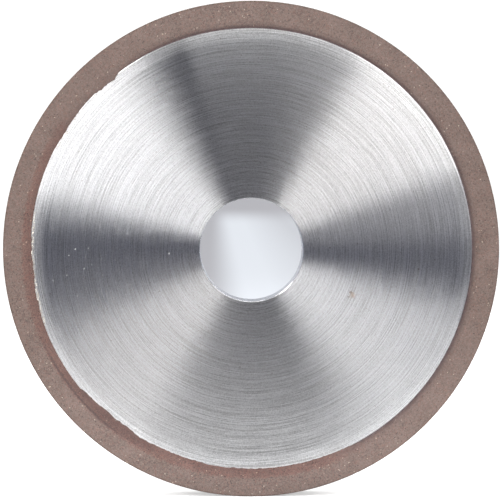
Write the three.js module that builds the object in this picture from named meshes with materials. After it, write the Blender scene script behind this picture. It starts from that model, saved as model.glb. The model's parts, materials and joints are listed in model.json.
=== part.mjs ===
// A straight, resin-bonded diamond grinding wheel on a turned aluminium core.
//
// Units are millimetres and +Z is up. The wheel spins about +Y, with its centre at the origin. From the
// bore outwards it is four pieces, one around the other: the core, the cement that holds the resin on it,
// a backing ring of plain resin, and the rim of resin filled with diamond grit.

import * as THREE from 'three';

const INCH = 25.4;

// Sizes of the whole wheel.
const WHEEL_RADIUS = (6 * INCH) / 2;
const WHEEL_WIDTH = INCH / 2;
const BORE_RADIUS = (1.25 * INCH) / 2;

// How the wheel's radius is shared out, from the rim inwards.
const DIAMOND_DEPTH = INCH / 4;
const BACKING_DEPTH = 1.7;
const CEMENT_DEPTH = 0.4;
const BACKING_OUTER_RADIUS = WHEEL_RADIUS - DIAMOND_DEPTH;
const BACKING_INNER_RADIUS = BACKING_OUTER_RADIUS - BACKING_DEPTH;
const CORE_RADIUS = BACKING_INNER_RADIUS - CEMENT_DEPTH;

// The core's faces lie a little below the resin's, so only the resin rubs on the work. The cement lies
// lower again, in the narrow gap between them.
const RESIN_HALF_WIDTH = WHEEL_WIDTH / 2;
const CORE_HALF_WIDTH = RESIN_HALF_WIDTH - 0.15;
const CEMENT_HALF_WIDTH = CORE_HALF_WIDTH - 0.3;

// Broken edges.
const RIM_CHAMFER = 0.25;
const CORE_RIM_CHAMFER = 0.15;
const BORE_CHAMFER = 0.2;

// Dovetail grooves around the core, which the cement fills and locks into.
const KEY_GROOVE_CENTRES = [-2.8, 2.8];
const KEY_GROOVE_DEPTH = 0.9;
const KEY_GROOVE_MOUTH = 1.8;
const KEY_GROOVE_FLOOR = 2.4;

// Flats in one turn of every round surface. It is a multiple of four, so that the wheel measures its full
// diameter along X and along Z.
const SEGMENTS = 120;

const aluminium = new THREE.MeshStandardMaterial({ color: 0xc9c9cb, roughness: 0.32, metalness: 1 });
const cementResin = new THREE.MeshStandardMaterial({ color: 0x5b4747, roughness: 0.7, metalness: 0 });
const plainResin = new THREE.MeshStandardMaterial({ color: 0x8f7571, roughness: 0.85, metalness: 0 });
const diamondResin = new THREE.MeshStandardMaterial({ color: 0x9b8681, roughness: 0.9, metalness: 0 });

// A mesh turned about Y. The outline is a list of [radius, y] points that goes out along the -Y face and
// back along the +Y face.
function turned(name, outline, material) {
  const closedOutline = [...outline, outline[0]];
  const profile = closedOutline.map(([radius, y]) => new THREE.Vector2(radius, y));
  const mesh = new THREE.Mesh(new THREE.LatheGeometry(profile, SEGMENTS), material);
  mesh.name = name;
  return mesh;
}

// The points of the core's outer wall between its chamfers, from -Y to +Y, with both grooves in it.
function keyedWall() {
  const floorRadius = CORE_RADIUS - KEY_GROOVE_DEPTH;
  return KEY_GROOVE_CENTRES.flatMap((centre) => [
    [CORE_RADIUS, centre - KEY_GROOVE_MOUTH / 2],
    [floorRadius, centre - KEY_GROOVE_FLOOR / 2],
    [floorRadius, centre + KEY_GROOVE_FLOOR / 2],
    [CORE_RADIUS, centre + KEY_GROOVE_MOUTH / 2],
  ]);
}

// The turned aluminium disc that the machine's spindle and flanges hold.
function makeCore() {
  const outline = [
    [BORE_RADIUS, -CORE_HALF_WIDTH + BORE_CHAMFER],
    [BORE_RADIUS + BORE_CHAMFER, -CORE_HALF_WIDTH],
    [CORE_RADIUS - CORE_RIM_CHAMFER, -CORE_HALF_WIDTH],
    [CORE_RADIUS, -CORE_HALF_WIDTH + CORE_RIM_CHAMFER],
    ...keyedWall(),
    [CORE_RADIUS, CORE_HALF_WIDTH - CORE_RIM_CHAMFER],
    [CORE_RADIUS - CORE_RIM_CHAMFER, CORE_HALF_WIDTH],
    [BORE_RADIUS + BORE_CHAMFER, CORE_HALF_WIDTH],
    [BORE_RADIUS, CORE_HALF_WIDTH - BORE_CHAMFER],
  ];
  return turned('core', outline, aluminium);
}

// The thin layer of cement between the core and the backing ring, with a ridge in each groove.
function makeCement() {
  const outline = [
    [CORE_RADIUS, -CEMENT_HALF_WIDTH],
    [BACKING_INNER_RADIUS, -CEMENT_HALF_WIDTH],
    [BACKING_INNER_RADIUS, CEMENT_HALF_WIDTH],
    [CORE_RADIUS, CEMENT_HALF_WIDTH],
    ...keyedWall().reverse(),
  ];
  return turned('cement_layer', outline, cementResin);
}

// The ring of resin with no diamond in it, moulded together with the rim.
function makeBackingRing() {
  const outline = [
    [BACKING_INNER_RADIUS, -RESIN_HALF_WIDTH],
    [BACKING_OUTER_RADIUS, -RESIN_HALF_WIDTH],
    [BACKING_OUTER_RADIUS, RESIN_HALF_WIDTH],
    [BACKING_INNER_RADIUS, RESIN_HALF_WIDTH],
  ];
  return turned('backing_ring', outline, plainResin);
}

// The abrasive rim, a ring of resin filled with diamond grit.
function makeDiamondRim() {
  const outline = [
    [BACKING_OUTER_RADIUS, -RESIN_HALF_WIDTH],
    [WHEEL_RADIUS - RIM_CHAMFER, -RESIN_HALF_WIDTH],
    [WHEEL_RADIUS, -RESIN_HALF_WIDTH + RIM_CHAMFER],
    [WHEEL_RADIUS, RESIN_HALF_WIDTH - RIM_CHAMFER],
    [WHEEL_RADIUS - RIM_CHAMFER, RESIN_HALF_WIDTH],
    [BACKING_OUTER_RADIUS, RESIN_HALF_WIDTH],
  ];
  return turned('diamond_rim', outline, diamondResin);
}

const wheel = new THREE.Group();
wheel.name = 'diamond_grinding_wheel';
wheel.add(makeCore(), makeCement(), makeBackingRing(), makeDiamondRim());

export default wheel;
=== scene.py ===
"""The looks of a straight resin-bond diamond grinding wheel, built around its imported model.

The wheel spins about Y and is seen from its -Y side. Lengths are in metres and angles round the wheel run
from +X towards +Z, anticlockwise as the camera sees them.
"""

import json
import math

import bpy
import numpy as np
from mathutils import Matrix, Vector


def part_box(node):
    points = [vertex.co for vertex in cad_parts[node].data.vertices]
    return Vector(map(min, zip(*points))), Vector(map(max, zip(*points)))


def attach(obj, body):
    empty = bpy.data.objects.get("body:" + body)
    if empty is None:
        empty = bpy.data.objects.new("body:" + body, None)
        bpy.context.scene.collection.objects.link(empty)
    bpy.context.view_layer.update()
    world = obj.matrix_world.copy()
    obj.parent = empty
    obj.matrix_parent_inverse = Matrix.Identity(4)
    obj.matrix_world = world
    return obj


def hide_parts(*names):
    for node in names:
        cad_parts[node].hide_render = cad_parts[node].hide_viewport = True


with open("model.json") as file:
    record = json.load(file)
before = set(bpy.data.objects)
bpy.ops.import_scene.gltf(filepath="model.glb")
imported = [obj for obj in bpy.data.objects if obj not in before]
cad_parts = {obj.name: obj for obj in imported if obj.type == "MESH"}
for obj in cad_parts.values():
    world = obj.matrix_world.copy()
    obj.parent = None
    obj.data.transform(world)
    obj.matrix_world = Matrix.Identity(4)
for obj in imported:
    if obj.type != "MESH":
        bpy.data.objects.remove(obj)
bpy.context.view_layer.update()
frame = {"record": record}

MM = 0.001

# Less than any real difference between two radii or heights.
TINY = 1e-7

# Sizes that the CAD nodes and mounts give.
WHEEL_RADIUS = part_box("diamond_rim")[1].x
RESIN_HALF_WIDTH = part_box("diamond_rim")[1].y
BACKING_OUTER_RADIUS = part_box("backing_ring")[1].x
BACKING_INNER_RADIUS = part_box("cement_layer")[1].x
CEMENT_HALF_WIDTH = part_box("cement_layer")[1].y
CORE_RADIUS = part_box("core")[1].x
CORE_HALF_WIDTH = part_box("core")[1].y
BORE = next(m for m in frame["record"]["mounts"] if m["name"] == "spindle_bore")
BORE_RADIUS = BORE["dims"]["r_mm"] * MM

# The dovetail grooves round the core, as the CAD core has them.
GROOVE_CENTRES = (-2.8 * MM, 2.8 * MM)
GROOVE_DEPTH = 0.9 * MM
GROOVE_MOUTH = 1.8 * MM
GROOVE_FLOOR = 2.4 * MM

# How fine the meshes are round the wheel.
CORE_STEPS = 256
RESIN_STEPS = 1200

SEED = 1776

# The resins' lighter and darker browns.
DIAMOND_PALE = (0.115, 0.082, 0.072)
DIAMOND_DARK = (0.058, 0.040, 0.034)
PLAIN_PALE = (0.11, 0.079, 0.069)
PLAIN_DARK = (0.056, 0.038, 0.033)


# Meshes


def smoothed(values, steps):
    """A noise field averaged with its neighbours round the wheel and across, keeping its spread."""
    result = values
    for _ in range(steps):
        around = (np.roll(result, 1, axis=1) + np.roll(result, -1, axis=1)) / 2
        across = (np.roll(result, 1, axis=0) + np.roll(result, -1, axis=0)) / 2
        result = (result * 2 + around + across) / 4
    return (result - result.mean()) / result.std()


def turned_piece(name, radii, heights, material, stands_for):
    """A closed mesh turned about Y. radii and heights hold one row for each point of the section's outline
    and one column for each step round the wheel. The outline goes out along the front and back along the
    rear."""
    rings, steps = radii.shape
    angle = np.linspace(0, 2 * math.pi, steps, endpoint=False)
    points = np.stack([radii * np.cos(angle), heights, radii * np.sin(angle)], axis=-1)
    ring, step = np.meshgrid(np.arange(rings), np.arange(steps), indexing="ij")
    next_ring = (ring + 1) % rings
    next_step = (step + 1) % steps
    corners = [ring * steps + step, ring * steps + next_step]
    corners += [next_ring * steps + next_step, next_ring * steps + step]
    faces = np.stack(corners, axis=-1).reshape(-1, 4)
    mesh = bpy.data.meshes.new(name)
    mesh.from_pydata(points.reshape(-1, 3).tolist(), [], faces.tolist())
    mesh.shade_smooth()
    mesh.set_sharp_from_angle(angle=math.radians(32))
    return show(name, mesh, material, stands_for)


def show(name, mesh, material, stands_for=None):
    """Puts a mesh in the scene as a piece that rides on the wheel's one body."""
    mesh.materials.append(material)
    piece = bpy.data.objects.new(name, mesh)
    bpy.context.scene.collection.objects.link(piece)
    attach(piece, "root")
    if stands_for:
        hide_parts(stands_for)
    return piece


def arc(centre_radius, centre_height, size, start, end, points=4):
    """Points of a rounded edge, between two angles in degrees from outwards towards the rear."""
    angles = [math.radians(start + (end - start) * i / (points - 1)) for i in range(points)]
    return [(centre_radius + size * math.cos(a), centre_height + size * math.sin(a)) for a in angles]


def mirrored(outline):
    """The rear half of an outline that is the same on both sides of the wheel."""
    return [(radius, -height) for radius, height in reversed(outline)]


def spread(start, end, pitch):
    """Evenly spaced values from start to end, both included, about a pitch apart."""
    count = max(2, round(abs(end - start) / pitch) + 1)
    return np.linspace(start, end, count)


def groove_outline(centre):
    """The points of one dovetail groove in the core's edge, from front to rear."""
    floor_radius = CORE_RADIUS - GROOVE_DEPTH
    return [
        (CORE_RADIUS, centre - GROOVE_MOUTH / 2),
        (floor_radius, centre - GROOVE_FLOOR / 2),
        (floor_radius, centre + GROOVE_FLOOR / 2),
        (CORE_RADIUS, centre + GROOVE_MOUTH / 2),
    ]


def turned_arrays(outline, steps):
    """The radii and heights of an outline, the same at every step round the wheel."""
    around = np.zeros((1, steps))
    radii = np.array([radius for radius, _ in outline])[:, None] + around
    heights = np.array([height for _, height in outline])[:, None] + around
    return radii, heights


def make_core(material, bore_material, rng):
    """The turned disc: a faced front and back with tool marks, a bored hole and grooves round its edge."""
    face_pitch = 0.3 * MM
    bore_pitch = 0.6 * MM
    mark_depth = 0.004 * MM
    edge = 0.15 * MM
    bore_edge = 0.2 * MM
    front = -CORE_HALF_WIDTH
    bore = [(BORE_RADIUS, y) for y in spread(-bore_pitch / 2, front + bore_edge * 3, bore_pitch)]
    bore_lip = [(BORE_RADIUS, front + bore_edge)]
    face = [(r, front) for r in spread(BORE_RADIUS + bore_edge, CORE_RADIUS - edge, face_pitch)]
    rim_lip = arc(CORE_RADIUS - edge, front + edge, edge, 285, 360)
    half = bore + bore_lip + face + rim_lip + groove_outline(GROOVE_CENTRES[0])
    outline = half + mirrored(half)
    radii, heights = turned_arrays(outline, CORE_STEPS)
    on_face = np.abs(np.abs(heights[:, 0]) - CORE_HALF_WIDTH) < TINY
    marks = np.abs(rng.normal(size=len(outline))) * mark_depth
    heights -= (np.sign(heights[:, 0]) * marks * on_face)[:, None]
    core = turned_piece("wheel_core", radii, heights, material, "core")
    core.data.materials.append(bore_material)
    for polygon in core.data.polygons:
        if math.hypot(polygon.center.x, polygon.center.z) < BORE_RADIUS + bore_edge:
            polygon.material_index = 1
    return core


def make_cement(material):
    """The cement between the core and the resin, sunk below both of their faces."""
    half = [(CORE_RADIUS, -CEMENT_HALF_WIDTH), (BACKING_INNER_RADIUS, -CEMENT_HALF_WIDTH)]
    wall = [point for centre in GROOVE_CENTRES for point in groove_outline(centre)]
    outline = half + mirrored(half) + wall[::-1]
    radii, heights = turned_arrays(outline, CORE_STEPS)
    return turned_piece("cement_ring", radii, heights, material, "cement_layer")


# Where the resin was pressed or smeared inwards over the core's edge: the angle of the middle in degrees,
# half the width in degrees, how far it reaches, and how ragged its edge is.
FRONT_FLASH = (
    (131, 4, 0.9 * MM, 0.3),
    (147, 6, 0.25 * MM, 0.6),
    (187, 11, 0.5 * MM, 0.4),
    (229, 10, 1.1 * MM, 0.05),
    (244, 14, 0.5 * MM, 0.08),
    (270, 30, 0.25 * MM, 0.2),
)
REAR_FLASH = ((52, 9, 0.8 * MM, 0.1), (160, 14, 0.5 * MM, 0.4), (301, 6, 1.0 * MM, 0.2))

# Where the resin covers the cement: the middle of this stretch and half its width, in degrees.
COVERED_MIDDLE = 210
COVERED_HALF_WIDTH = 92

# Where the seam between the two resins is open, in degrees.
SEAM_MIDDLE = 219
SEAM_HALF_WIDTH = 12

# The rim's faces and tread lie this far inside its full size, which its crystals reach.
GRIT_STAND = 0.05 * MM


def round_the_wheel(steps):
    """The angle of each step, in degrees."""
    return np.linspace(0, 360, steps, endpoint=False)


def away_from(middle, degrees):
    """How far each angle is from the middle one, either way round."""
    return np.abs((degrees - middle + 180) % 360 - 180)


def flash_reach(flash, rng):
    """How far the resin reaches inwards past its edge at each step."""
    degrees = round_the_wheel(RESIN_STEPS)
    wavy = smoothed(rng.normal(size=(1, RESIN_STEPS)), 30)[0]
    ragged = smoothed(rng.normal(size=(1, RESIN_STEPS)), 5)[0]
    bare = 0.04 * MM
    over_cement = 0.44 * MM
    fade = 8
    inside = COVERED_HALF_WIDTH - away_from(COVERED_MIDDLE, degrees)
    covered = np.clip(inside / fade + wavy * 0.3, 0, 1)
    reach = bare + over_cement * covered
    for middle, half_width, furthest, raggedness in flash:
        swell = np.clip(1 - (away_from(middle, degrees) / half_width) ** 2, 0, 1) ** 0.6
        edge = np.clip(0.9 + 0.1 * wavy + raggedness * ragged, 0.4, 1.3)
        reach = reach + swell * furthest * edge
    return reach + 0.03 * MM * np.abs(ragged)


def make_backing_ring(material, rng):
    """The ring of plain resin. A thin lip of flash spreads from each face over the core's edge."""
    face_rows = 7
    relief = 0.008 * MM
    recess = 0.03 * MM
    face_height = RESIN_HALF_WIDTH - recess
    lip_foot = CORE_HALF_WIDTH + 0.015 * MM
    lip_top = face_height - 0.03 * MM
    rows = []
    for flash, side in ((FRONT_FLASH, -1), (REAR_FLASH, 1)):
        reach = flash_reach(flash, rng)
        inner = BACKING_INNER_RADIUS - reach
        level = np.zeros(RESIN_STEPS)
        lip_shoulder = lip_foot + (lip_top - lip_foot) * 0.6
        half = [
            (BACKING_INNER_RADIUS + level, side * lip_foot + level),
            (inner, side * lip_foot + level),
            (inner + 0.05 * MM, side * lip_shoulder + level),
            (inner + 0.16 * MM, side * lip_top + level),
        ]
        for share in np.linspace(0.2, 1, face_rows):
            radius = inner + (BACKING_OUTER_RADIUS - inner) * share
            half.append((radius, side * face_height + level))
        rows += half if side < 0 else half[::-1]
    radii = np.stack([r for r, _ in rows])
    heights = np.stack([y for _, y in rows])
    grain = smoothed(rng.normal(size=radii.shape), 1) * relief
    on_face = np.abs(heights) > lip_top - TINY
    heights -= np.sign(heights) * on_face * np.abs(grain)
    return turned_piece("backing_resin", radii, heights, material, "backing_ring")


def make_diamond_rim(material, rng):
    """The abrasive rim, with its grainy skin as real relief, small chips along its edges, and a groove
    beside the backing ring where the two were pressed together badly."""
    pitch = 0.4 * MM
    edge = 0.25 * MM
    relief = 0.014 * MM
    chip_depth = 0.09 * MM
    groove_depth = 0.14 * MM
    outer = WHEEL_RADIUS - GRIT_STAND
    front = -(RESIN_HALF_WIDTH - GRIT_STAND)
    face = [(r, front) for r in spread(BACKING_OUTER_RADIUS, outer - edge * 1.5, pitch)]
    lip = arc(outer - edge, front + edge, edge, 285, 360)
    half_tread = [(outer, y) for y in spread(front + edge * 2, -pitch / 2, pitch)]
    half = face + lip + half_tread
    radii, heights = turned_arrays(half + mirrored(half), RESIN_STEPS)
    grain = np.abs(smoothed(rng.normal(size=radii.shape), 1)) * relief
    chips = np.clip(smoothed(rng.normal(size=radii.shape), 4) - 1.6, 0, 1) * chip_depth
    on_tread = radii > outer - edge * 1.1
    on_face = np.abs(heights) > np.abs(front) - edge * 1.1
    at_seam = radii < BACKING_OUTER_RADIUS + TINY
    groove_width = 1.2 * pitch
    beside_seam = np.clip(1 - (radii - BACKING_OUTER_RADIUS) / groove_width, 0, 1) * ~at_seam
    from_middle = away_from(SEAM_MIDDLE, round_the_wheel(RESIN_STEPS))
    open_seam = np.clip(1.6 - from_middle / SEAM_HALF_WIDTH, 0, 1)
    radii -= (grain + chips * on_face) * on_tread
    heights -= np.sign(heights) * (grain + chips * on_tread) * on_face * ~at_seam
    heights -= np.sign(heights) * groove_depth * beside_seam * open_seam * on_face
    return turned_piece("abrasive_rim", radii, heights, material, "diamond_rim")


def crystal(size, rng):
    """The points and faces of one blocky crystal, cut from a stretched and bent octahedron."""
    points = np.array([(1, 0, 0), (-1, 0, 0), (0, 1, 0), (0, -1, 0), (0, 0, 1), (0, 0, -1)], dtype=float)
    points *= size / 2 * rng.uniform(0.75, 1.15, size=(6, 1))
    points += rng.normal(size=(6, 3)) * size * 0.06
    tilt, turn = rng.uniform(0, 2 * math.pi, size=2)
    spin = Matrix.Rotation(tilt, 3, "X") @ Matrix.Rotation(turn, 3, "Y")
    points = points @ np.array(spin)
    return points, [(0, 2, 4), (2, 1, 4), (1, 3, 4), (3, 0, 4), (2, 0, 5), (1, 2, 5), (3, 1, 5), (0, 3, 5)]


def on_wheel(radius, height, around):
    """The place at this distance from the axis, at this height along it and at this angle round it."""
    return np.array((radius * math.cos(around), height, radius * math.sin(around)))


def scattered(name, crystals, material):
    """One piece made of many crystals, each given by its middle, points and triangles."""
    vertices, faces = [], []
    for middle, points, triangles in crystals:
        first = len(vertices)
        vertices += (points + middle).tolist()
        faces += [tuple(first + corner for corner in triangle) for triangle in triangles]
    mesh = bpy.data.meshes.new(name)
    mesh.from_pydata(vertices, [], faces)
    return show(name, mesh, material)


def make_crystals(material, rng):
    """Diamond crystals that stand a little out of the rim's faces and tread, all inside its full size."""
    on_each_face = 1300
    on_tread = 1500
    face_inner = BACKING_OUTER_RADIUS + 0.2 * MM
    edge = 0.4 * MM
    crystals = []
    for number in range(2 * on_each_face + on_tread):
        size = rng.uniform(0.12, 0.26) * MM
        sunk = GRIT_STAND * rng.uniform(0.1, 0.9)
        around = rng.uniform(0, 2 * math.pi)
        points, triangles = crystal(size, rng)
        if number < 2 * on_each_face:
            side = -1 if number % 2 else 1
            radius = rng.uniform(face_inner, WHEEL_RADIUS - edge)
            height = side * (RESIN_HALF_WIDTH - sunk - np.abs(points[:, 1]).max())
        else:
            radius = WHEEL_RADIUS - sunk - np.linalg.norm(points, axis=1).max()
            height = rng.uniform(-1, 1) * (RESIN_HALF_WIDTH - edge)
        crystals.append((on_wheel(radius, height, around), points, triangles))
    return scattered("diamond_crystals", crystals, material)


# Where bright crumbs of metal and resin stick out along the core's front edge: the two ends of each stretch
# in degrees, and how many.
BURRS = ((170, 200, 240), (222, 236, 20), (140, 153, 50), (127, 136, 16))


def make_burr(material, rng):
    """Crumbs along the ragged edge where the flash meets the core."""
    flattening = (1, 0.4, 1)
    clearance = 0.01 * MM
    crumbs = []
    for start, end, count in BURRS:
        half_width = (end - start) / 2
        for _ in range(count):
            around = math.radians(rng.uniform(start, end))
            from_middle = away_from((start + end) / 2, math.degrees(around)) / half_width
            reach = 0.3 + 0.6 * math.sqrt(max(0.0, 1 - from_middle**2))
            radius = CORE_RADIUS - (0.2 + reach * rng.uniform(0.1, 1.0)) * MM
            points, triangles = crystal(rng.uniform(0.16, 0.42) * MM, rng)
            points *= flattening
            thickness = np.abs(points[:, 1]).max()
            furthest = RESIN_HALF_WIDTH - clearance - thickness
            height = -min(CORE_HALF_WIDTH + thickness * rng.uniform(0.2, 0.8), furthest)
            crumbs.append((on_wheel(radius, height, around), points, triangles))
    return scattered("edge_burr", crumbs, material)


# Materials


class Nodes:
    """Adds nodes to one node tree."""

    def __init__(self, tree):
        self.tree = tree

    def add(self, kind, inputs=None, **settings):
        """A new node. inputs maps an input's name or number to a value or to another node's output."""
        node = self.tree.nodes.new("ShaderNode" + kind)
        for name, value in settings.items():
            setattr(node, name, value)
        self.feed(node, inputs or {})
        return node

    def feed(self, node, inputs):
        """Sets a node's inputs, or links other nodes' outputs to them."""
        for name, value in inputs.items():
            if isinstance(value, bpy.types.NodeSocket):
                self.tree.links.new(value, node.inputs[name])
            else:
                node.inputs[name].default_value = value

    def sum(self, operation, a, b=0.0, c=0.0):
        """The result of one arithmetic step on numbers or outputs."""
        return self.add("Math", {0: a, 1: b, 2: c}, operation=operation).outputs[0]

    def vector(self, operation, a, b=(0, 0, 0), scale=1.0):
        """The result of one step of vector arithmetic. The length is a number, and the rest are vectors."""
        node = self.add("VectorMath", {0: a, 1: b, 3: scale}, operation=operation)
        return node.outputs[1] if operation == "LENGTH" else node.outputs[0]

    def mixture(self, layers):
        """The sum of some outputs, each times its weight."""
        total = 0.0
        for output, weight in layers:
            total = self.sum("MULTIPLY_ADD", output, weight, total)
        return total

    def dot(self, a, b):
        """The dot product of two vectors."""
        return self.add("VectorMath", {0: a, 1: b}, operation="DOT_PRODUCT").outputs["Value"]

    def facing(self, direction, degrees):
        """1 where a point lies at this angle round the wheel, falling to -1 on the far side."""
        angle = math.radians(degrees)
        return self.dot(direction, (math.cos(angle), 0, math.sin(angle)))

    def picks(self, where, size):
        """Three random numbers from 0 to 1 for each grain of about this size."""
        cells = self.add("TexVoronoi", {"Vector": where, "Scale": 1 / size}).outputs["Color"]
        return self.add("SeparateColor", {0: cells}).outputs

    def noise(self, where, scale=1.0, detail=2.0, roughness=0.5):
        """A cloudy value, mostly near 0.5. detail adds finer clouds, and roughness is their strength."""
        inputs = {"Vector": where, "Scale": scale, "Detail": detail, "Roughness": roughness}
        return self.add("TexNoise", inputs).outputs["Fac"]

    def fit(self, value, low, high, to_low, to_high, smooth=False):
        """A value's range from low to high stretched to another range, and held there."""
        inputs = {"Value": value, "From Min": low, "From Max": high, "To Min": to_low, "To Max": to_high}
        interpolation = "SMOOTHSTEP" if smooth else "LINEAR"
        return self.add("MapRange", inputs, interpolation_type=interpolation, clamp=True).outputs["Result"]

    def blend(self, amount, a, b, how="MIX"):
        """Colours a and b mixed. amount is 0 for a and 1 for b."""
        node = self.add("Mix", data_type="RGBA", blend_type=how)
        colours = [s for s in node.inputs if s.type == "RGBA"]
        for socket, value in ((node.inputs["Factor"], amount), (colours[0], a), (colours[1], b)):
            if isinstance(value, bpy.types.NodeSocket):
                self.tree.links.new(value, socket)
            elif socket.type == "RGBA":
                socket.default_value = (*value, 1)
            else:
                socket.default_value = value
        return next(s for s in node.outputs if s.type == "RGBA")

    def bump(self, height, distance, onto=None):
        """A surface direction bent by a height, on top of an earlier bump if one is given."""
        inputs = {"Height": height, "Distance": distance, "Strength": 1.0}
        if onto is not None:
            inputs["Normal"] = onto
        return self.add("Bump", inputs).outputs["Normal"]


class Shader(Nodes):
    """Builds one material's nodes."""

    def __init__(self, name):
        self.material = bpy.data.materials.new(name)
        self.material.use_nodes = True
        super().__init__(self.material.node_tree)
        self.surface = self.tree.nodes["Principled BSDF"]


def wheel_position(shader):
    """Where a point of the surface is: its place, its distance from the axis, and its direction from it."""
    place = shader.add("TexCoord").outputs["Object"]
    flat = shader.vector("MULTIPLY", place, (1, 0, 1))
    return place, shader.vector("LENGTH", flat), shader.vector("NORMALIZE", flat)


# Stains on the core's front: their x and z, their size, and what they multiply the metal's colour by.
TAN = (0.74, 0.6, 0.5)
BROWN = (0.5, 0.43, 0.4)
PIT_BROWN = (0.25, 0.2, 0.17)
STAINS = (
    (31.0 * MM, -14.0 * MM, 0.9 * MM, TAN),
    (30.4 * MM, -13.0 * MM, 0.45 * MM, BROWN),
    (29.7 * MM, -14.4 * MM, 0.25 * MM, BROWN),
    (51.4 * MM, -6.0 * MM, 0.3 * MM, BROWN),
)

# In degrees: the core's edge is scuffed least opposite the first angle, and dust lies round the second.
SCUFFED_MIDDLE = 170
DUSTY_MIDDLE = 180


def stained(shader, place, wander, pit, colour):
    """The metal's colour with a few small stains and scattered pits. wander is the noise that makes the
    stains ragged, and pit picks the pits."""
    for x, z, size, tint in STAINS:
        away = shader.vector("LENGTH", shader.vector("SUBTRACT", place, (x, -CORE_HALF_WIDTH, z)))
        away = shader.sum("MULTIPLY_ADD", wander, size * 3, away)
        spot = shader.fit(away, size * 2.7, size * 2.0, 0, 1)
        colour = shader.blend(spot, colour, tint, how="MULTIPLY")
    return shader.blend(shader.fit(pit, 0.998, 0.999, 0, 0.5), colour, PIT_BROWN)


def dulled(shader, radius, direction, wander, speck):
    """How far the metal has lost its shine. It is scuffed along its outer edge, and a few specks of dust
    lie on it at the left. speck picks the specks."""
    scuffed = shader.sum("MULTIPLY_ADD", wander, 2.5 * MM, radius)
    scuffed = shader.fit(scuffed, CORE_RADIUS - 3.2 * MM, CORE_RADIUS + 1.2 * MM, 0, 0.12)
    share = shader.fit(shader.facing(direction, SCUFFED_MIDDLE), -0.95, -0.6, 0.3, 1)
    at_left = shader.fit(shader.facing(direction, DUSTY_MIDDLE), 0.93, 0.97, 0, 1, smooth=True)
    dust = shader.sum("MULTIPLY", at_left, shader.fit(speck, 0.9952, 0.9966, 0, 0.4))
    return shader.sum("MAXIMUM", shader.sum("MULTIPLY", scuffed, share), dust)


def turned_aluminium():
    """Aluminium finished with emery cloth in the lathe: fine arcs run round the wheel, and light fans out
    across them."""
    shader = Shader("turned_aluminium")
    place, radius, direction = wheel_position(shader)
    height = shader.add("SeparateXYZ", {0: place}).outputs["Y"]
    across = shader.sum("ADD", radius, height)

    def arcs(width, length, detail=1.0):
        """Noise drawn out into arcs of about this width and length."""
        around = shader.vector("SCALE", direction, scale=CORE_RADIUS / 2 / length)
        stacked = shader.add("CombineXYZ", {"Y": shader.sum("DIVIDE", across, width)}).outputs[0]
        return shader.noise(shader.vector("ADD", around, stacked), 1.0, detail)

    grain = shader.noise(place, 1 / (0.3 * MM), 0.0)
    streaks = arcs(0.28 * MM, 4 * MM)
    scores = arcs(0.28 * MM, 30 * MM)
    bands = arcs(1.2 * MM, 60 * MM)
    tone = shader.mixture([(grain, 0.22), (streaks, 0.26), (scores, 0.42), (bands, 0.1)])
    colour = shader.blend(shader.fit(tone, 0.37, 0.63, 0, 1), (0.46, 0.455, 0.45), (1.0, 1.0, 1.0))
    rough = shader.fit(tone, 0.37, 0.63, 0.38, 0.28)
    wander = shader.noise(place, 1 / (0.8 * MM), 3.0, 0.7)
    picks = shader.picks(place, 0.35 * MM)
    colour = stained(shader, place, wander, picks[0], colour)
    metallic = shader.sum("SUBTRACT", 1, dulled(shader, radius, direction, wander, picks[1]))
    lines = shader.bump(streaks, 0.004 * MM)
    lines = shader.bump(scores, 0.006 * MM, onto=lines)
    crossing = arcs(0.2 * MM, 4 * MM)
    quarter_turn = 0.25
    sway = 0.012
    turn = shader.fit(crossing, 0.25, 0.75, quarter_turn - sway, quarter_turn + sway)
    tangent = shader.add("Tangent", direction_type="RADIAL", axis="Y").outputs[0]
    inputs = {"Base Color": colour, "Roughness": rough, "Normal": lines, "Tangent": tangent}
    inputs.update({"Metallic": metallic, "Anisotropic": 1.0, "Anisotropic Rotation": turn})
    shader.feed(shader.surface, inputs)
    return shader.material


def bored_aluminium():
    """The wall of the bore: the same metal, with fine rings from the boring tool and a duller shine."""
    shader = Shader("bored_aluminium")
    place, _, direction = wheel_position(shader)
    height = shader.add("SeparateXYZ", {0: place}).outputs["Y"]
    along = shader.add("CombineXYZ", {"Y": shader.sum("DIVIDE", height, 0.12 * MM)}).outputs[0]
    around = shader.vector("SCALE", direction, scale=3.0)
    rings = shader.noise(shader.vector("ADD", along, around), 1.0, 2.0)
    cloud = shader.noise(place, 1 / (1.5 * MM), 3.0)
    tone = shader.mixture([(rings, 0.7), (cloud, 0.3)])
    colour = shader.blend(shader.fit(tone, 0.35, 0.65, 0, 1), (0.72, 0.72, 0.73), (0.97, 0.97, 0.98))
    rough = shader.fit(tone, 0.35, 0.65, 0.3, 0.2)
    lines = shader.bump(rings, 0.002 * MM)
    inputs = {"Base Color": colour, "Roughness": rough, "Normal": lines, "Metallic": 1.0}
    shader.feed(shader.surface, inputs)
    return shader.material


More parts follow.
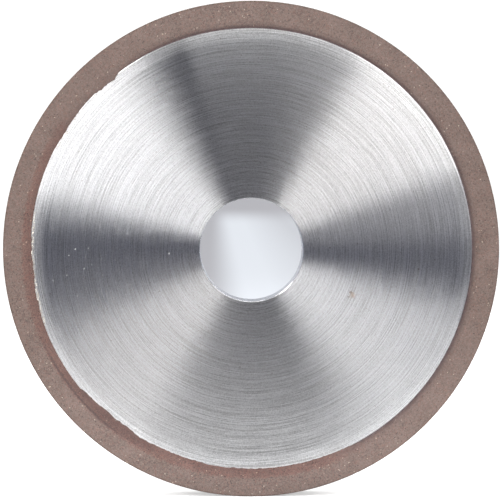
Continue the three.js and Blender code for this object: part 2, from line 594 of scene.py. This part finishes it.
def grained(shader, place, pale, dark):
    """The colour of pressed resin: packed grains of slightly different browns, with a few pale crystals
    among them and near-black specks of painted shade standing for tiny pits."""
    picks = shader.picks(place, 0.3 * MM)
    fine = shader.noise(place, 1 / (0.7 * MM), 3.0, 0.6)
    broad = shader.noise(place, 1 / (7 * MM), 2.0)
    mottle = shader.fit(fine, 0.3, 0.7, 0, 1)
    clouds = shader.fit(broad, 0.3, 0.7, 0, 1)
    tone = shader.mixture([(picks[0], 0.5), (mottle, 0.3), (clouds, 0.2)])
    colour = shader.blend(shader.fit(tone, 0.1, 0.9, 0, 1), dark, pale)
    redder = shader.fit(picks[1], 0.7, 1, 0, 0.8)
    greyer = shader.fit(picks[1], 0.3, 0, 0, 0.8)
    # Painted shade: near-black specks standing for tiny pits.
    pit_shade = shader.fit(picks[2], 0.035, 0.025, 0, 0.6)
    crystals = shader.fit(picks[2], 0.993, 0.996, 0, 0.8)
    colour = shader.blend(redder, colour, (1.1, 0.86, 0.79), how="MULTIPLY")
    colour = shader.blend(greyer, colour, (0.92, 1.0, 0.98), how="MULTIPLY")
    colour = shader.blend(pit_shade, colour, (0.02, 0.014, 0.012))
    colour = shader.blend(crystals, colour, (0.24, 0.2, 0.16))
    relief = shader.bump(picks[0], 0.012 * MM)
    return colour, shader.bump(fine, 0.03 * MM, onto=relief)


# What the redder stretch of resin is multiplied by, and the angle of its middle, in degrees.
RED_TINT = (0.98, 0.79, 0.76)
RED_MIDDLE = 222

# The angle at which the widest flash was pressed, in degrees. The resin is darker there.
PRESSED_MIDDLE = 229


def redder_stretch(shader, place, direction):
    """How much redder the backing ring's resin is, which depends on the angle round the wheel."""
    wander = shader.noise(place, 1 / (6 * MM), 2.0)
    middle = shader.sum("MULTIPLY_ADD", wander, 0.3, shader.facing(direction, RED_MIDDLE))
    return shader.fit(middle, 0.3, 0.55, 0, 0.9, smooth=True)


def seam_painted_shade(shader, place, radius, direction, colour):
    """The colour darkened raggedly on both sides of the open seam: painted shade, beside the seam's real
    groove.
    """
    from_seam = shader.sum("ABSOLUTE", shader.sum("SUBTRACT", radius, BACKING_OUTER_RADIUS))
    ragged = shader.noise(place, 1 / (0.9 * MM), 3.0)
    from_seam = shader.sum("MULTIPLY_ADD", ragged, 1.4 * MM, from_seam)
    near = shader.fit(shader.facing(direction, SEAM_MIDDLE), 0.95, 0.985, 0, 0.75, smooth=True)
    # Painted shade: a ragged near-black band along the open seam.
    painted_shade = shader.sum("MULTIPLY", shader.fit(from_seam, 1.3 * MM, 0.65 * MM, 0, 1), near)
    return shader.blend(painted_shade, colour, (0.035, 0.024, 0.023))


def diamond_resin():
    """The abrasive rim's resin: with painted shade at its outer edge, where it rounds off, and along the
    open seam, and a little of the backing ring's redder resin smeared over its inner edge."""
    shader = Shader("diamond_resin")
    place, radius, direction = wheel_position(shader)
    colour, relief = grained(shader, place, DIAMOND_PALE, DIAMOND_DARK)
    cloud = shader.noise(place, 1 / (1.2 * MM), 4.0, 0.7)
    smeared = shader.sum("MULTIPLY_ADD", cloud, -2.4 * MM, radius)
    smeared = shader.fit(smeared, BACKING_OUTER_RADIUS - 0.9 * MM, BACKING_OUTER_RADIUS - 0.3 * MM, 0.9, 0)
    smeared = shader.sum("MULTIPLY", smeared, redder_stretch(shader, place, direction))
    colour = shader.blend(smeared, colour, RED_TINT, how="MULTIPLY")
    # Painted shade: the resin darker towards the outer edge, where it rounds off.
    outer = shader.fit(radius, WHEEL_RADIUS - 0.7 * MM, WHEEL_RADIUS - 0.1 * MM, 0, 0.6)
    colour = shader.blend(outer, colour, (0.7, 0.62, 0.55), how="MULTIPLY")
    colour = seam_painted_shade(shader, place, radius, direction, colour)
    inputs = {"Base Color": colour, "Normal": relief, "Roughness": 0.8, "Specular IOR Level": 0.3}
    shader.feed(shader.surface, inputs)
    return shader.material


def plain_resin():
    """The backing ring's resin: redder along one stretch, with painted shade along its inner edge
    elsewhere.
    """
    shader = Shader("plain_resin")
    place, radius, direction = wheel_position(shader)
    colour, relief = grained(shader, place, PLAIN_PALE, PLAIN_DARK)
    red = redder_stretch(shader, place, direction)
    colour = shader.blend(red, colour, RED_TINT, how="MULTIPLY")
    # Painted shade: the inner edge darker where the sunk cement beside it is not covered.
    inner = shader.fit(radius, BACKING_INNER_RADIUS + 0.3 * MM, BACKING_INNER_RADIUS + 1.0 * MM, 1, 0.15)
    covered = shader.facing(direction, COVERED_MIDDLE)
    painted_shade = shader.sum("MULTIPLY", inner, shader.fit(covered, -0.15, 0.1, 0.7, 0.2))
    colour = shader.blend(painted_shade, colour, (0.42, 0.36, 0.4), how="MULTIPLY")
    colour = seam_painted_shade(shader, place, radius, direction, colour)
    pressed = shader.facing(direction, PRESSED_MIDDLE)
    pressed = shader.fit(pressed, 0.955, 0.99, 0, 0.7, smooth=True)
    colour = shader.blend(pressed, colour, (0.72, 0.72, 0.74), how="MULTIPLY")
    inputs = {"Base Color": colour, "Normal": relief, "Roughness": 0.8, "Specular IOR Level": 0.3}
    shader.feed(shader.surface, inputs)
    return shader.material


def crystal_facets():
    """The diamond grit: pale yellowish grey, with glassy facets."""
    shader = Shader("crystal_facets")
    place = wheel_position(shader)[0]
    cloud = shader.noise(place, 1 / (0.6 * MM), 1.0)
    colour = shader.blend(shader.fit(cloud, 0.35, 0.65, 0, 1), (0.08, 0.06, 0.05), (0.2, 0.17, 0.14))
    rough = shader.fit(shader.noise(place, 1 / (0.1 * MM), 1.0), 0.3, 0.7, 0.35, 0.6)
    shader.feed(shader.surface, {"Base Color": colour, "Roughness": rough, "Specular IOR Level": 0.5})
    return shader.material


def crumbled_metal():
    """Crumbs of aluminium and resin dust, pale and matt."""
    shader = Shader("crumbled_metal")
    place = wheel_position(shader)[0]
    cloud = shader.noise(place, 1 / (0.4 * MM), 2.0)
    colour = shader.blend(shader.fit(cloud, 0.35, 0.65, 0, 1), (0.2, 0.165, 0.13), (0.78, 0.74, 0.66))
    shader.feed(shader.surface, {"Base Color": colour, "Roughness": 0.6, "Metallic": 0.2})
    shader.feed(shader.surface, {"Normal": shader.bump(cloud, 0.03 * MM)})
    return shader.material


def cement():
    """The cement's dark, mottled red-brown."""
    shader = Shader("cement")
    place = wheel_position(shader)[0]
    mottle = shader.noise(place, 1 / (0.8 * MM), 2.0)
    colour = shader.blend(shader.fit(mottle, 0.35, 0.65, 0, 1), (0.07, 0.045, 0.05), (0.13, 0.09, 0.09))
    shader.feed(shader.surface, {"Base Color": colour, "Roughness": 0.8})
    return shader.material


# Studio


def floor_colour_with_painted_shadow(shader, floor_height):
    """White, but for a painted shadow behind the wheel, which shows in the bore: a pale blue-grey patch,
    darker still at its left, right and far edges."""
    place = shader.add("TexCoord").outputs["Object"]
    white = (0.9, 0.9, 0.9)
    pale = (0.63, 0.657, 0.7)
    shaded = (0.385, 0.385, 0.41)
    patch_middle = (0.045, 3.4, floor_height)
    patch_size = (0.2, 2.9, 1)
    from_middle = shader.vector("DIVIDE", shader.vector("SUBTRACT", place, patch_middle), patch_size)
    # Painted shadow: the floor greyer behind the wheel, deepest at the patch's edges.
    shadow_patch = shader.fit(shader.vector("LENGTH", from_middle), 1.05, 0.9, 0, 1, smooth=True)
    across, depth, _ = shader.add("SeparateXYZ", {0: place}).outputs
    left = shader.fit(across, 0.016, -0.02, 0, 1, smooth=True)
    right = shader.fit(across, 0.035, 0.1, 0, 0.5)
    far = shader.fit(depth, 2.6, 3.7, 0, 1, smooth=True)
    shadow_colour = pale
    for edge in (left, right, far):
        shadow_colour = shader.blend(edge, shadow_colour, shaded)
    return shader.blend(shadow_patch, white, shadow_colour)


def make_floor():
    """A floor just under the wheel, which glows a little."""
    reach = 30
    z = -WHEEL_RADIUS
    corners = [(-reach, -reach, z), (reach, -reach, z), (reach, reach, z), (-reach, reach, z)]
    mesh = bpy.data.meshes.new("studio_floor")
    mesh.from_pydata(corners, [], [(0, 1, 2, 3)])
    floor = bpy.data.objects.new("studio_floor", mesh)
    floor.visible_glossy = False
    bpy.context.scene.collection.objects.link(floor)
    shader = Shader("pale_floor")
    colour = floor_colour_with_painted_shadow(shader, z)
    lit_share = (0.6, 0.6, 0.6)
    glow = 0.55
    inputs = {"Base Color": shader.blend(1.0, colour, lit_share, how="MULTIPLY")}
    inputs.update({"Emission Color": colour, "Emission Strength": glow})
    inputs.update({"Roughness": 1.0, "Specular IOR Level": 0.0})
    shader.feed(shader.surface, inputs)
    mesh.materials.append(shader.material)


def facing_front(azimuth, tilt, distance):
    """A place before the wheel: its angle round the wheel, how far it stands from the wheel's axis, both in
    degrees, and how far it is from the wheel's centre."""
    around = math.radians(azimuth)
    away = math.radians(tilt)
    across = distance * math.sin(away)
    return Vector((across * math.cos(around), -distance * math.cos(away), across * math.sin(around)))


def make_softbox(name, place, aim, width, height, power, up=(0, 0, 1), colour=(1, 1, 1)):
    """A softbox that faces the point aim, with its height along up."""
    light = bpy.data.lights.new(name, "AREA")
    light.shape = "RECTANGLE"
    light.size = width
    light.size_y = height
    light.energy = power
    light.color = colour
    back = (Vector(place) - Vector(aim)).normalized()
    side = Vector(up).cross(back).normalized()
    turn = Matrix((side, back.cross(side), back)).transposed()
    lamp = bpy.data.objects.new(name, light)
    lamp.matrix_world = Matrix.Translation(place) @ turn.to_4x4()
    lamp.visible_camera = False
    bpy.context.scene.collection.objects.link(lamp)
    return lamp


def make_world():
    """A white room all round, which glossy surfaces see as a dim one, bluer at its sides, so that the
    softboxes shape them. Only the wall straight behind the wheel stays pale, for the bore to mirror."""
    world = bpy.data.worlds.new("studio")
    bpy.context.scene.world = world
    world.use_nodes = True
    white = (1.12, 1.12, 1.12)
    pale_wall = (0.8, 0.84, 0.93)
    dim_middle = (0.066, 0.067, 0.084)
    dim_side = (0.054, 0.064, 0.118)
    nodes = Nodes(world.node_tree)
    towards = nodes.add("TexCoord").outputs["Generated"]
    behind = nodes.fit(nodes.dot(towards, (0, 1, 0)), 0.984, 0.992, 0, 1, smooth=True)
    sideways = nodes.fit(nodes.sum("ABSOLUTE", nodes.dot(towards, (1, 0, 0))), 0.2, 0.7, 0, 1)
    mirrored_room = nodes.blend(behind, nodes.blend(sideways, dim_middle, dim_side), pale_wall)
    glossy = nodes.add("LightPath").outputs["Is Glossy Ray"]
    room = nodes.blend(glossy, white, mirrored_room)
    nodes.feed(nodes.tree.nodes["Background"], {"Color": room})


def make_camera():
    """The camera stands square on to the wheel, a little above its axis."""
    distance = 0.65
    frame_width = 153.35 * MM
    elevation = math.radians(2.5)
    azimuth = math.radians(-1)
    data = bpy.data.cameras.new("camera")
    data.sensor_width = 36
    data.lens = data.sensor_width * (distance - RESIN_HALF_WIDTH) / frame_width
    data.shift_x = -0.0024
    data.shift_y = -0.002
    camera = bpy.data.objects.new("camera", data)
    level = math.cos(elevation)
    back = Vector((math.sin(azimuth) * level, -math.cos(azimuth) * level, math.sin(elevation)))
    camera.location = back * distance
    camera.rotation_euler = back.to_track_quat("Z", "Y").to_euler()
    bpy.context.scene.collection.objects.link(camera)
    bpy.context.scene.camera = camera


# The softboxes whose light fans out over the metal. All stand at this tilt from the wheel's axis and this
# far from its centre, and have this height. Each has a name, its angle round the wheel in degrees, its
# width, its power and its colour.
KEY_TILT = 50
KEY_DISTANCE = 0.8
KEY_HEIGHT = 0.3
NEUTRAL = (1, 1, 1)
WARM = (1, 0.985, 0.97)
COOL = (0.84, 0.92, 1)
KEYS = (
    ("key_right", 38, 0.43, 4.2, WARM),
    ("key_right_edge", 36, 0.95, 1.5, WARM),
    ("key_left", 151, 0.38, 4.5, NEUTRAL),
    ("key_left_edge", 146, 0.7, 1.1, NEUTRAL),
)

# The main key of each side, which is repeated behind the wheel with this share of its power.
REAR_KEYS = KEYS[::2]
REAR_SHARE = 0.7

CENTRE = (0, 0, 0)
UP = Vector((0, 0, 1))
DOWN = Vector((0, 0, -1))


def make_key(name, place, width, power, colour=NEUTRAL):
    """A softbox that faces the wheel, with its height along the line out from the wheel's axis."""
    outwards = (place.x, 0, place.z)
    make_softbox(name, place, CENTRE, width, KEY_HEIGHT, power, up=outwards, colour=colour)


def make_strip(name, place, way, width, depth, power, colour=NEUTRAL):
    """A lamp that faces straight up or down."""
    aim = Vector(place) + way
    return make_softbox(name, place, aim, width, depth, power, up=(0, 1, 0), colour=colour)


def make_lights():
    """The softboxes before the wheel, small lamps at its edges, and the lamps behind it."""
    for name, azimuth, width, power, colour in KEYS:
        make_key(name, facing_front(azimuth, KEY_TILT, KEY_DISTANCE), width, power, colour)
    make_softbox("top_left", (-0.2, -0.12, 0.25), (0, 0, 0.05), 0.15, 0.08, 0.58)
    make_strip("foot_strip", (0.06, -0.04, -0.075), UP, 0.36, 0.04, 0.085)
    head_strip = make_strip("head_strip", (0.034, -0.024, 0.082), DOWN, 0.12, 0.014, 0.016)
    head_strip.visible_diffuse = False
    foot_lamp = make_strip("foot_lamp", (0, -0.035, -0.02), DOWN, 0.09, 0.04, 0.06, COOL)
    foot_lamp.visible_glossy = False
    make_softbox("right_fill", facing_front(13, KEY_TILT, 0.35), CENTRE, 0.08, 0.1, 0.045)
    for name, azimuth, width, power, _ in REAR_KEYS:
        place = facing_front(azimuth, KEY_TILT, KEY_DISTANCE) * Vector((-1, -1, 1))
        make_key("rear_" + name, place, width, REAR_SHARE * power)
    make_strip("back_panel", (0, 2.5, 2.2), DOWN, 4, 4, 5)


rng = np.random.default_rng(SEED)
make_core(turned_aluminium(), bored_aluminium(), rng)
make_cement(cement())
make_backing_ring(plain_resin(), rng)
make_diamond_rim(diamond_resin(), rng)
make_crystals(crystal_facets(), rng)
make_burr(crumbled_metal(), rng)
make_floor()
make_lights()
make_world()
make_camera()
bpy.context.scene.view_settings.view_transform = "Standard"
